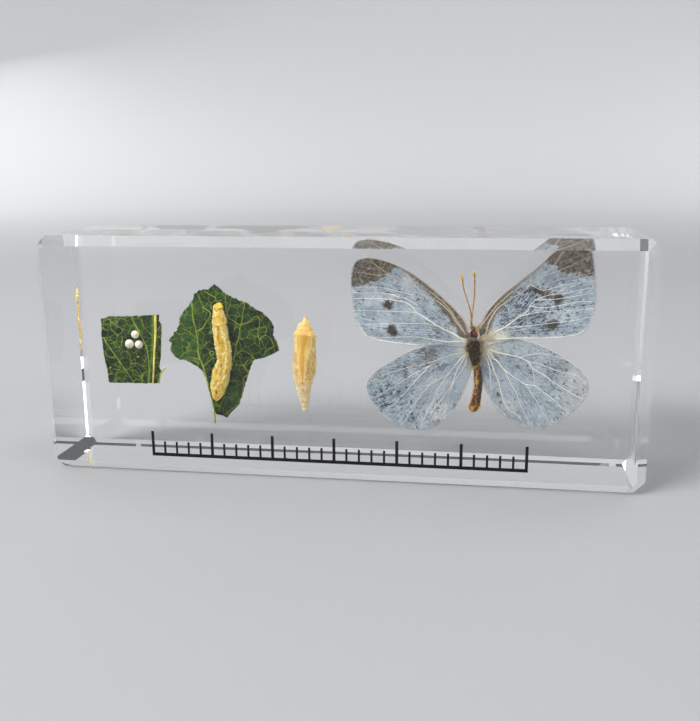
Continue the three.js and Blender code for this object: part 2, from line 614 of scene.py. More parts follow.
SQUARE = xz(-511,305, -502,305, -494,310, -470,310, -445,311, -400,314, -383,315, -384,302, -379,294,
    -382,250, -385,221, -388,209, -389,200, -386,195, -390,168, -421,166, -455,166, -503,166, -505,196,
    -509,217, -511,235, -513,268, -511,287)
SQUARE_VEINS = [
    (0.13, xz(-444,308, -435,290, -424,268, -415,247, -412,225, -412,190, -415,168)),
    (0.13, xz(-509,264, -499,247, -482,222, -465,195, -447,167)),
    (0.07, xz(-495,308, -488,298, -466,284, -445,278)),
    (0.06, xz(-488,298, -491,293, -511,292)),
    (0.07, xz(-491,293, -488,280, -478,270, -479,258, -486,253, -497,250)),
    (0.06, xz(-478,270, -467,275, -466,284)),
    (0.05, xz(-511,287, -502,280, -488,280)),
    (0.05, xz(-476,257, -461,255)),
    (0.06, xz(-486,252, -481,244, -472,243, -466,235, -457,234, -452,226, -451,209, -455,199, -462,195)),
    (0.05, xz(-466,235, -473,229)),
    (0.06, xz(-451,209, -435,209, -426,203, -416,205)),
    (0.06, xz(-423,307, -418,291, -411,280, -402,272)),
    (0.05, xz(-469,308, -451,300)),
    (0.06, xz(-485,220, -500,223, -507,233)),
    (0.06, xz(-491,196, -479,194, -468,190, -485,186, -474,168)),
    (0.06, xz(-455,195, -441,192, -430,177, -422,168)),
    (0.05, xz(-446,231, -434,236, -426,230)),
    (0.05, xz(-389,280, -380,294)),
    (0.05, xz(-391,239, -383,247)),
]
SQUARE_MIDRIB = xz(-391,314, -393,278, -398,231, -405,168)
SQUARE_BAND = xz(-396,313, -402,231, -409,205, -415,168)
SPRIG = xz(-392,167, -388,181, -384,191, -379,198, -375,202)
SPECKS = [(-43.4, 22.4), (-49.7, 19.9)]
EGGS = [(-43.65, 27.25, 0.84), (-45.0, 25.2, 0.95), (-42.95, 25.1, 0.88)]

LEAF = xz(-262,380, -276,369, -286,370, -304,361, -309,348, -318,335, -331,322, -340,307, -343,290,
    -357,271, -366,260, -360,255, -363,240, -352,224, -343,219, -331,219, -309,208, -295,196, -283,165,
    -275,125, -269,104, -257,101, -246,96, -235,109, -219,125, -210,147, -205,164, -192,202, -183,223,
    -160,229, -129,245, -134,265, -141,277, -138,291, -144,306, -161,323, -174,330, -193,343, -207,347,
    -228,356, -240,362, -254,376)
LEAF_HUB = (-25.5, 26.0)
LEAF_VEINS = [
    (0.17, xz(-271,84, -273,115, -279,148, -287,181, -293,208, -301,232, -302,259, -305,283, -309,309,
        -311,339, -313,347)),
    (0.1, xz(-305,281, -292,287, -282,300, -272,320, -287,334, -300,363)),
    (0.08, xz(-285,368, -269,358, -259,352, -260,346, -247,347)),
    (0.09, xz(-291,208, -275,222, -268,229)),
    (0.08, xz(-300,222, -313,225, -327,226)),
    (0.07, xz(-303,267, -320,279, -334,287)),
    (0.06, xz(-302,246, -291,247, -282,261)),
    (0.11, xz(-235,197, -230,209, -224,230, -220,253, -213,271, -209,295, -207,299, -203,321, -199,339,
        -203,345)),
    (0.09, xz(-209,295, -223,305, -235,314, -238,329, -239,360)),
    (0.08, xz(-207,298, -192,303, -174,316, -168,302, -173,282, -170,266, -170,250)),
    (0.07, xz(-220,254, -231,260)),
    (0.07, xz(-220,234, -209,242, -195,238, -183,229)),
    (0.08, xz(-170,266, -158,276, -147,270, -141,254, -152,246, -162,236)),
    (0.06, xz(-158,276, -154,290, -166,292, -193,281)),
    (0.07, xz(-226,212, -206,212, -195,223, -186,221)),
    (0.09, xz(-206,212, -195,194, -207,183, -207,167, -217,133, -247,105)),
    (0.06, xz(-236,176, -219,177, -211,173)),
    (0.06, xz(-263,111, -254,132, -245,143, -229,137)),
]
LEAF_CURLS = [(-27.2, 23.6, 0.42), (-27.3, 28.0, 0.25)]


def square_lift(x, z):
    return LEAF_PLANE + 0.10 * ripples(flat(x, z), 5.0, 3) + 0.02 * (x - SQUARE_HUB[0])


def leaf_lift(x, z):
    """Waves that grow toward the rim, with the left lobe turned back a little."""
    tall = 0.05 + 0.022 * np.hypot(x - LEAF_HUB[0], z - LEAF_HUB[1])
    waves = tall * ripples(flat(x, z), 6.0, 5)
    return LEAF_PLANE + waves + 0.05 * ripples(flat(x, z), 1.8, 6) + 0.25 * ease(-30, -36, x)


def ribs_on(lift, veins, stand=0.05, tan=0.0, root=None):
    """Round veins half sunk in a sheet: tubes along the veins at the sheet's own height. They thin
    towards their far ends, and swell within a few millimetres of root."""
    shapes = []
    for radius, line in veins:
        steps = max(8, 14 * len(line))
        path = smooth_line(line, steps)
        taper = radius * (1 - 0.45 * np.linspace(0, 1, steps)**2)
        if root is not None:
            taper = taper * (0.8 + 1.1 * np.exp(-np.hypot(*(path - root).T) / 3.2))
        shapes.append(tube(upright(path, lift(*path.T) - stand), taper, sides=8, values={"tan": tan}))
    return shapes


def square_paint(x, z):
    pale = 0.1 + 0.25 * ripples(flat(x, z), 4.0, 8)
    return {"midrib": stroke(x, z, SQUARE_BAND, 0.28, 0.55), "pale": unit(pale)}


def leaf_square(green, ribs):
    columns = 320
    edge = 0.04 * ripples(np.linspace(0, 30, columns)[:, None], 0.8, 4)
    blade = sheet(SQUARE, SQUARE_HUB, SQUARE_THICK, square_lift, 50, columns, edge, square_paint, SQUARE_CURL)
    piece("leaf_square", [blade], green)
    veins = ribs_on(square_lift, SQUARE_VEINS, VEIN_STAND)
    veins += ribs_on(square_lift, [(MIDRIB_RADIUS, SQUARE_MIDRIB)], 0.12, 1.0)
    for x, z in SPECKS:
        path = np.stack(np.broadcast_arrays(x, -0.1 - 0.35 * np.linspace(0, 1, 8), z), axis=1)
        swell = 0.2 * np.sqrt(np.linspace(1, 0.02, 8))
        veins.append(tube(path, swell, up=(0, 0, 1), values={"tan": 0.9}))
    piece("leaf_square_veins", veins, ribs)
    path = smooth_line(SPRIG, 30)
    wide = 0.16 + 0.04 * ripples(path, 1.0, 12)
    stalk = tube(upright(path, LEAF_PLANE + STALK_DEPTH), wide, 0.7 * wide, sides=12, values={"tan": 0.3})
    piece("loose_stalk", [stalk], ribs)


def eggs():
    """Three ribbed eggs, each standing on the leaf along Y: a profile that swells and rounds over,
    with shallow ribs."""
    shell = egg_shell()
    share = np.linspace(0, 1, EGG_RINGS)
    angle = angles(EGG_SIDES)
    relief = 1 + 0.025 * np.cos(EGG_RIBS * angle) * np.sin(np.pi * share)[:, None]
    for number, (x, z, radius) in enumerate(EGGS, start=1):
        base = square_lift(np.array([x]), np.array([z]))[0]
        path = np.stack(np.broadcast_arrays(x, base - 1.9 * radius * share, z), axis=1)
        half = np.maximum(radius * np.sin(np.pi * (0.14 + 0.86 * share))**0.62, 0.02)
        out_x, out_z = half[:, None] * np.cos(angle), half[:, None] * np.sin(angle)
        stripe = stroke(out_x, out_z, xz(-3.5,1.5, 2.5,-1.2), 0.16, 0.75 if number == 2 else 0.0)
        stripe = stripe * (share[:, None] > 0.4)
        shape = tube(path, half, sides=EGG_SIDES, up=(0, 0, 1), relief=relief, values={"stripe": stripe})
        piece(f"egg_{number}", [shape], shell)


def leaf_paint(x, z):
    spots = blobs(x, z, [(-33.5, 25.0, 3.0, 0.5), (-25.6, 36.3, 1.5, 0.9), (-18.6, 27.4, 1.3, 0.8),
                         (-23.4, 14.6, 1.6, 0.7), (-31.0, 31.0, 2.6, 0.3)])
    pale = 0.62 * ease(-26.5, -31.0, x) + spots + 0.2 * ripples(flat(x, z), 3.0, 9)
    return {"midrib": np.zeros_like(x), "pale": unit(pale)}


def big_leaf(green, ribs):
    columns = 560
    along = np.linspace(0, 90, columns)[:, None]
    edge = 0.08 * ripples(along, 1.3, 14) + 0.05 * ripples(along, 0.45, 15)
    blade = sheet(LEAF, LEAF_HUB, LEAF_THICK, leaf_lift, 56, columns, edge, leaf_paint, LEAF_CURL)
    piece("leaf_blade", [blade], green)
    veins = ribs_on(leaf_lift, LEAF_VEINS, VEIN_STAND)
    turn = np.linspace(0, 2 * np.pi, 40)
    for x, z, radius in LEAF_CURLS:
        curl = flat(x + radius * np.cos(turn), z + radius * np.sin(turn))
        veins.append(tube(upright(curl, LEAF_PLANE - 0.3), 0.08, sides=8, values={"tan": 0.0}))
    piece("leaf_stalk_and_veins", veins, ribs)


# ---------------------------------------- larva and chrysalis

BODY_RINGS, BODY_SIDES = 290, 116

LARVA_LEFT = xz(-256,343.5, -259.5,341, -262.5,336, -263,329, -263,323, -264,317, -265.5,304, -265,292,
    -264,279, -263.5,266, -261.5,253, -259,237, -258,221, -265,204, -271,187, -274,173, -274,157,
    -272,144, -269,138, -265,134)
LARVA_RIGHT = xz(-250,343.5, -245,341, -241.5,336, -242.5,329, -241,323, -239,317, -236,307, -236,299,
    -235,290, -233.5,275, -231.5,262, -229,247, -229.5,234, -230,215, -232.5,199, -236,188, -237.5,180,
    -242,170, -245,158, -252,148, -257,140, -263,134)
LARVA_TOP, LARVA_FOOT, LARVA_DEPTH = 34.33, 13.42, -1.35
SLIT = xz(-251,295, -252,281, -252,269, -249.5,260)
HOLLOW = xz(-248,266, -246,256, -244,246)
NECK = xz(-265,329.5, -253,327.5, -240,330)
PALE_FOLDS = [xz(-257,239.5, -246,238, -231,242), xz(-258,228, -259,208, -252,190),
              xz(-239,228, -239,210, -247,193), xz(-259,184, -247,187, -239,196),
              xz(-266,172, -255,176, -250,169), xz(-265,162, -255,164), xz(-259,326, -252,324, -245,327),
              xz(-259,300, -250,299, -240,302), xz(-246,294, -242,278, -239,264),
              xz(-257,292, -257.5,276, -258,266), xz(-239,260, -236,246), xz(-256,256, -254,244)]
DARK_SPOTS = [(-26.1, 15.5, 0.26, 1.3), (-25.9, 33.1, 0.16, 0.9), (-24.75, 33.1, 0.16, 1.0),
              (-24.6, 32.5, 0.14, 1.0), (-24.15, 31.2, 0.2, 0.6), (-24.8, 21.3, 0.26, 0.8),
              (-26.0, 31.3, 0.22, 0.5)]
BRISTLES = 520


def wrap(middle, half, height):
    """The angle round each ring, and the x and z of every place on the rings."""
    angle = angles(BODY_SIDES)
    x = middle[:, None] + half[:, None] * np.cos(angle)
    return angle, x, np.broadcast_to(height[:, None], x.shape)


def strokes(x, z, lines, width):
    """Soft strokes along all the lines, together no more than 1."""
    return unit(sum(stroke(x, z, line, width) for line in lines))


def larva():
    """Rings between the body's two sides. The dried skin is creased: its relief is one less the size
    of plane-wave noise, drawn out lengthwise, with a slit, a hollow, raised folds and small pits."""
    middle, half, height = between(LARVA_LEFT, LARVA_RIGHT, LARVA_TOP, LARVA_FOOT, BODY_RINGS)
    angle, x, z = wrap(middle, half, height)
    front = ease(0.2, -0.3, np.sin(angle))
    body = ease(33.3, 32.4, z)
    girth = around(angle, z, 1.5, 1.4)
    creases = creased(around(angle, z, 1.8, 0.45), 1.1, 21)
    small = creased(girth, 0.75, 22)
    crumbs = ripples(girth, 0.42, 23)
    slit = front * stroke(x, z, SLIT, 0.2)
    hollow = front * stroke(x, z, HOLLOW, 0.5)
    folds = strokes(x, z, PALE_FOLDS, 0.17) * front
    pits = blobs(x, z, DARK_SPOTS) * front
    rim = ease(0.72, 0.95, np.abs(np.cos(angle))) * body
    neck = stroke(x, z, NECK, 0.13)
    relief = (1 + body * (0.19 * (creases - 0.6) + 0.12 * (small - 0.6) + 0.03 * crumbs)
              + 0.06 * rim * crumbs + 0.07 * folds - 0.26 * slit - 0.16 * hollow - 0.12 * unit(pits)
              - 0.05 * neck)
    # Painted highlight: cream on the crease tops, the raised folds and a broad patch on the front, and paler
    # along both sides.
    ridge = body * (0.55 * ease(0.78, 1.0, creases) + 0.4 * ease(0.78, 1.0, small)) + 0.85 * folds
    ridge = ridge + 0.45 * rim + blobs(x, z, [(-24.0, 27.6, 0.7, 0.8), (-24.9, 21.0, 0.5, -0.4)]) * front
    # Painted shade, deeper golden: in the slit, the hollow, the crease hollows, the neck and two patches on
    # the front.
    groove = 0.95 * slit + 0.5 * hollow + 0.5 * body * ease(0.45, 0.1, creases)
    groove = groove + 0.35 * ease(0.4, 0.05, small) * body
    groove = groove + 0.5 * neck + front * blobs(x, z, [(-24.7, 21.2, 0.55, 0.4), (-25.2, 19.6, 0.5, 0.35)])
    values = {"ridge": unit(ridge - slit - 0.6 * hollow), "groove": unit(groove), "pit": unit(pits)}
    path = upright(flat(middle, height), LARVA_DEPTH)
    skinned = tube(path, half, 0.8 * half, sides=BODY_SIDES, relief=relief, values=values)
    piece("larva", [skinned], larva_skin())
    draw = np.random.default_rng(31)
    ring = draw.integers(30, BODY_RINGS - 6, BRISTLES)
    side = np.where(draw.uniform(size=BRISTLES) < 0.5, 0.0, np.pi) + draw.normal(0, 0.4, BRISTLES)
    out = np.stack([np.cos(side), np.sin(side), 0.25 * draw.normal(size=BRISTLES)], axis=1)
    roots = path[ring] + half[ring, None] * out * (0.97, 0.75, 0)
    fuzz = hairs(roots, out, draw.uniform(0.1, 0.26, BRISTLES), 0.05, (0, 0, 0.1), 32)
    straw = insect_hair("larva_bristle", tone(0.80, 0.55, 0.16), tone(0.96, 0.85, 0.52))
    piece("larva_bristles", [fuzz], straw)


CHRYSALIS_LEFT = xz(-74.5,320.5, -76.7,312, -81,305, -89,296, -91.5,286, -97,280, -96,264, -97.7,246,
    -100,209, -99,190, -96,177, -95,170, -91.5,155, -86.5,140, -83.5,132, -82,122, -79.5,117)
CHRYSALIS_RIGHT = xz(-71.5,320.5, -69,311, -64.5,306, -58.5,297, -56,287, -50.5,280, -52,265, -52,247,
    -51.5,230, -52,210, -57,191, -59.5,178, -61.5,170, -63,156, -67.5,140, -69.5,132, -70,122, -74,117)
CHRYSALIS_TOP, CHRYSALIS_FOOT, CHRYSALIS_DEPTH = 32.0, 11.75, -0.4
TAIL_RING = 1.15
CASE_LEFT = xz(-90,283, -89,268, -88.5,248, -87,234, -85,213, -83,198, -81,189, -78,182)
CASE_RIGHT = xz(-57.5,284, -58.5,266, -61.5,249, -66,232, -70,214, -70.5,204, -73,192, -78,182)
TONGUE_LEFT = xz(-80.5,282, -78,267, -78.5,255, -80,235, -79.5,214, -79.5,198, -78.5,184)
TONGUE_RIGHT = xz(-64.5,283, -69.5,267, -72.5,255, -74,235, -75,214, -76,198, -77.5,184)
FLANK_LINES = [xz(-67,214, -63,202, -58,195), xz(-65,226, -60,213, -56,206),
               xz(-59,252, -56,239, -62,230), xz(-69,205, -67,194, -61,188),
               xz(-95,244, -93,226, -89,216), xz(-96,222, -92,208, -88,201),
               xz(-96,206, -92,194, -86,189), xz(-55,226, -54,216, -55,204)]


def chrysalis():
    """Rings between the shell's two sides, deep in the middle. The wing cases stand up as a V of
    smooth panels with pale lips round a golden tongue, the flanks are creased and the tail ringed."""
    middle, half, height = between(CHRYSALIS_LEFT, CHRYSALIS_RIGHT, CHRYSALIS_TOP, CHRYSALIS_FOOT, BODY_RINGS)
    half = half * (1 + 0.008 * ripples(height[:, None], 0.8, 41))
    angle, x, z = wrap(middle, half, height)
    front = ease(0.1, -0.25, np.sin(angle))
    upper = ease(18.2, 18.9, z) * ease(28.9, 28.0, z) * front
    tongue_left, tongue_right = line_x(z, TONGUE_LEFT), line_x(z, TONGUE_RIGHT)
    in_case = np.minimum(x - line_x(z, CASE_LEFT), line_x(z, CASE_RIGHT) - x)
    in_tongue = np.minimum(x - tongue_left, tongue_right - x)
    panel = ease(-0.05, 0.2, in_case) * upper
    lip = bell((in_case - 0.02) / 0.13) * upper
    tongue = ease(-0.14, 0.1, in_tongue) * upper
    seam = bell(in_tongue / 0.09) * upper
    mid_line = bell((x - 0.5 * (tongue_left + tongue_right)) / 0.14) * upper
    tail = ease(18.2, 17.4, z)
    tail_rings = tail * (0.5 + 0.5 * np.cos(2 * np.pi * z / TAIL_RING))**3
    place = np.stack(np.broadcast_arrays(x, 2.0 * np.sin(angle), z), axis=-1)
    wrinkle = creased(place * (1.6, 1.6, 0.8), 1.1, 42)
    flank = (1 - panel) * ease(28.6, 27.4, z) * ease(17.4, 18.6, z)
    lines = strokes(x, z, FLANK_LINES, 0.11) * front
    relief = (1 + 0.06 * panel + 0.06 * lip - 0.05 * seam - 0.05 * tail_rings
              + 0.012 * tail * np.sin(z * 18) + 0.09 * flank * (wrinkle - 0.6) - 0.05 * lines
              + 0.01 * ripples(place, 2.2, 43))
    face = blobs(x, z, [(-7.75, 29.1, 0.4, 0.5), (-6.85, 28.9, 0.4, 0.45), (-7.1, 30.0, 0.45, 0.35)])
    # Dark: face spots, flank lines, tail rings and two spots, and painted shade in the hollows of the flank
    # creases.
    dark = 1.1 * (face * front) + 0.5 * lines + 0.25 * flank * ease(0.5, 0.1, wrinkle)
    dark = dark + 0.3 * tail_rings * front
    dark = dark + blobs(x, z, [(-7.9, 17.95, 0.32, 0.9), (-7.8, 16.5, 0.2, 0.8)]) * front
    # Gold: the tongue's own golden orange and the top of the head, and painted shade along the sunk seams and
    # the middle line.
    gold = tongue * (0.4 + 0.3 * ease(23, 28, z)) + 0.5 * ease(31.0, 31.8, z)
    gold = gold + 0.75 * seam + 0.45 * mid_line
    # Ridge: the cream lips, painted highlight on the tops of the flank creases, and paler on the tail's
    # sides.
    ridge = lip + 0.8 * flank * ease(0.75, 0.98, wrinkle)
    ridge = ridge + 0.45 * tail * ease(0.75, 1.0, np.abs(np.cos(angle)))
    values = {"case": panel, "gold": unit(gold), "pale": tail, "ridge": unit(ridge), "dark": unit(dark)}
    path = upright(flat(middle, height), CHRYSALIS_DEPTH)
    shell = tube(path, half, 0.82 * half, sides=BODY_SIDES, relief=relief, values=values)
    piece("chrysalis", [shell], chrysalis_skin())


# ---------------------------------------- butterfly

FOREWING_PLANE = -0.25
HINDWING_PLANE = 0.25
WING_THICK, WING_CURL = 0.10, 0.7
SWEEP_RADIUS = 16

LEFT_FOREWING = xz(257,284, 251,308, 232,334, 196,368, 164,393, 132,414, 101,428, 74,436, 54,438, 34,431,
    26,417, 23,397, 24,371, 28,340, 34,308, 44,291, 56,279, 89,270.5, 133,265, 170,262.5, 215,266,
    252,270)
RIGHT_FOREWING = xz(283,279, 278,303, 293,335, 320,367, 356,398, 391,428, 415,452, 436,467, 456,471,
    475,466, 485,454, 491,428, 496,388, 497,354, 491,328, 483,306, 472,294, 443,287.5, 402,283, 360,281,
    310,276)
LEFT_HINDWING = xz(256,263, 210,265, 179,263, 156,257, 133,247, 102,228, 78,212, 61,194, 54,179, 57,160,
    66,142, 82,122, 102,105, 125,94, 152,87, 174,89, 196,97, 218,116, 235,139, 249,165, 262,194, 267,213,
    264,230, 262,248)
RIGHT_HINDWING = xz(285,256, 308,272, 330,277, 354,280, 378,276, 402,268, 427,256, 448,243, 471,227,
    486,211, 493,193, 492,175, 482,156, 464,135, 437,114, 409,100, 386,97, 363,105, 336,121, 312,144,
    294,175, 284,196, 280,214, 282,236)

# Veins as (radius, how tan, line). A forewing's first runs along its front and last along its rim.
LEFT_FOREWING_VEINS = [
    (0.13, 0.75, xz(254,292, 251,308, 232,334, 196,368, 164,393, 132,414, 101,428, 74,435.5, 54,437)),
    (0.08, 0.55, xz(250,292, 232,318, 213,345, 192,363, 170,379, 148,393)),
    (0.1, 0.55, xz(252,286, 234,310, 219,332, 204,347, 191,355, 168,364, 153,372, 137,381, 117,392,
        96,406, 79,419, 62,431)),
    (0.07, 0.35, xz(167,365, 156,379, 148,387, 137,395, 120,404)),
    (0.06, 0.5, xz(96,406, 74,404, 53,407, 28,410)),
    (0.07, 0.1, xz(148,365, 120,371, 91,378, 57,380, 25,377)),
    (0.06, 0.1, xz(120,364, 88,368, 57,368, 25,368)),
    (0.12, 0.05, xz(256,273, 241,280, 226,289, 209,297, 193,305, 181,313, 165,323, 153,331, 145,341,
        134,349, 121,352, 102,355, 79,357, 53,357, 26,356)),
    (0.07, 0.1, xz(153,330, 131,331, 96,332, 62,332, 30,332)),
    (0.07, 0.1, xz(180,308, 159,308, 138,308, 97,307, 65,305, 35,305)),
    (0.08, 0.05, xz(252,273, 231,273, 218,272, 192,275, 161,280, 131,280, 100,278, 70,278, 56,279)),
    (0.09, 0.0, xz(100,367, 115,362, 131,358, 141,353, 157,344)),
    (0.09, 0.0, xz(35,306, 45,291, 56,280, 89,271, 133,266, 170,263.5)),
]
RIGHT_FOREWING_VEINS = [
    (0.13, 0.75, xz(279,300, 293,334, 320,366, 356,397, 391,427, 415,451, 436,466)),
    (0.08, 0.5, xz(284,308, 298,330, 312,348, 327,363, 347,380, 369,398, 392,417)),
    (0.1, 0.45, xz(290,284, 295,308, 303,326, 312,340, 323,350, 339,362, 360,375, 375,390, 398,406,
        415,426, 426,442, 432,455, 438,465)),
    (0.11, 0.05, xz(286,279, 298,285, 309,293, 329,305, 346,318, 356,327, 370,338, 374,348, 383,359)),
    (0.07, 0.1, xz(375,389, 395,379, 410,381, 432,388, 461,394, 493,399)),
    (0.07, 0.1, xz(383,359, 409,369, 439,374, 464,380, 494,386)),
    (0.07, 0.1, xz(383,359, 418,361, 441,365, 463,369, 495,375)),
    (0.08, 0.0, xz(374,346, 406,345, 434,350, 463,357, 495,358)),
    (0.07, 0.1, xz(356,326, 379,333, 406,337, 450,340, 473,343, 494,345)),
    (0.07, 0.1, xz(329,304, 363,306, 388,310, 420,315, 451,319, 489,328)),
    (0.06, 0.5, xz(398,406, 426,418, 446,426, 465,436, 485,446)),
    (0.06, 0.5, xz(401,390, 416,395, 439,402, 462,407, 491,414)),
    (0.09, 0.0, xz(295,278, 310,280, 360,283, 402,284, 443,288.5, 471,295, 482,307)),
]
LEFT_HINDWING_VEINS = [
    (0.08, 0.3, xz(248,250, 225,245, 207,238, 189,231, 169,224, 139,217, 115,210, 86,198, 57,182)),
    (0.07, 0.15, xz(207,238, 195,233, 180,221, 164,212, 140,198, 118,183, 102,173, 87,161, 64,145)),
    (0.08, 0.05, xz(180,221, 164,202, 147,182, 134,166, 118,149, 90,118)),
    (0.09, 0.1, xz(256,250, 240,234, 226,215, 214,202, 198,192, 180,182, 165,178, 148,174)),
    (0.07, 0.05, xz(180,181, 165,160, 151,139, 140,119, 125,95)),
    (0.08, 0.0, xz(223,210, 205,184, 196,171, 190,150, 178,127, 163,89)),
    (0.08, 0.05, xz(254,247, 239,219, 231,198, 226,183, 214,162, 196,139, 180,112)),
    (0.07, 0.05, xz(257,243, 248,217, 235,198, 225,175, 216,149, 213,120)),
    (0.09, 0.25, xz(250,262, 210,264, 179,262, 156,256, 133,246, 102,227, 78,211, 62,194)),
    (0.08, 0.0, xz(264,240, 266,213, 261,194, 248,166, 234,140)),
]
RIGHT_HINDWING_VEINS = [
    (0.12, 0.0, xz(289,260, 299,257, 316,252, 343,247, 359,243, 375,235, 384,223, 404,211, 431,192,
        460,175, 486,162)),
    (0.08, 0.15, xz(359,243, 368,247, 379,250, 398,252, 414,251, 436,245, 449,241)),
    (0.08, 0.1, xz(375,235, 396,232, 418,224, 436,217, 466,211, 492,196)),
    (0.06, 0.1, xz(384,223, 388,203, 391,187)),
    (0.1, 0.0, xz(289,258, 301,250, 306,242, 317,232, 329,218, 343,207, 358,197, 372,189, 391,186,
        408,174, 431,156, 460,131)),
    (0.07, 0.05, xz(372,189, 385,170, 399,148, 413,125, 424,108)),
    (0.07, 0.0, xz(329,218, 343,189, 355,169, 363,148, 374,126, 390,99)),
    (0.09, 0.0, xz(290,254, 298,244, 309,216, 318,194, 324,172, 330,153, 341,136, 359,123, 375,102)),
    (0.07, 0.05, xz(289,250, 292,242, 300,222, 303,194, 305,178, 307,164)),
    (0.06, 0.1, xz(365,216, 376,210, 386,203)),
    (0.09, 0.2, xz(294,263, 308,271, 330,276, 354,279, 378,275, 402,267, 427,255, 448,242, 471,226)),
    (0.08, 0.0, xz(282,230, 281,214, 285,197, 295,176, 313,145, 337,122)),
]


def wing_lift(level, root, seed):
    """The wing's middle surface: it bows toward the display face away from the root, with soft
    pleats that fan out from the root and fine waves."""
    def lift(x, z):
        away = np.hypot(x - root[0], z - root[1])
        pleats = 0.09 * ease(2, 12, away) * np.sin(np.arctan2(z - root[1], x - root[0]) * 22)
        waves = 0.07 * ripples(flat(x, z), 3.0, seed)
        return level - 0.5 * ease(0, 26, away) + pleats + waves + 0.3 * ease(3, 0, away)
    return lift


def grow(x, least, more, start, full):
    """least before start, and least and more together from full on."""
    return least + more * ease(start, full, x)


def forewing_paint(veins, tip, fade, seed, spots, band, shade, smudges, dust, rim, cream):
    """Paint of a forewing. It is dark beyond the line tip, which gives the lowest dark z at each x
    and fades, in round spots, in smudges and along the front vein, where band and shade are what
    grow() takes for its width and darkness. It is creamy along the rim and in patches."""
    def paint(x, z):
        above = z - np.interp(x, tip[:, 0], tip[:, 1]) + 0.35 * ripples(flat(x, z), 1.0, seed)
        spot = blobs(x, z, spots)
        front = ease(1.0, 0.5, line_gap(x, z, veins[0][2]) / grow(x, *band))
        dark = 0.95 * ease(-0.6 * fade, 0.4 * fade, above) + spot
        dark = dark + front * grow(x, *shade) + blobs(x, z, smudges)
        uneven = 0.9 + 0.25 * ripples(flat(x, z), 0.8, seed + 1)
        return {"dark": unit(dark * uneven), "dust": unit(blobs(x, z, dust)),
                "cream": unit(stroke(x, z, veins[-1][2], 0.22, rim) + blobs(x, z, cream)),
                "spot": np.clip(0.9 * spot, 0, 0.85)}
    return paint


def hindwing_paint(faint, clouds, marks, dust, rim, cream):
    """Paint of a hindwing: faint dark clouds, dark marks, dust, and cream at the root and the rim."""
    def paint(x, z):
        return {"dark": unit(faint * blobs(x, z, clouds) + blobs(x, z, marks)),
                "dust": unit(blobs(x, z, dust)),
                "cream": unit(rim * ease(41, 50, x) + blobs(x, z, cream))}
    return paint


def fan_out(paint, root):
    """Adds to a wing's paint its reach, the distance from the root, and its sweep, the bearing from
    the root as an arc length."""
    def fanned(x, z):
        values = paint(x, z)
        values["reach"] = np.hypot(x - root[0], z - root[1])
        bearing = np.arctan2(z - root[1], (x - root[0]) * np.sign(x.mean() - root[0]))
        values["sweep"] = SWEEP_RADIUS * bearing
        return values
    return fanned


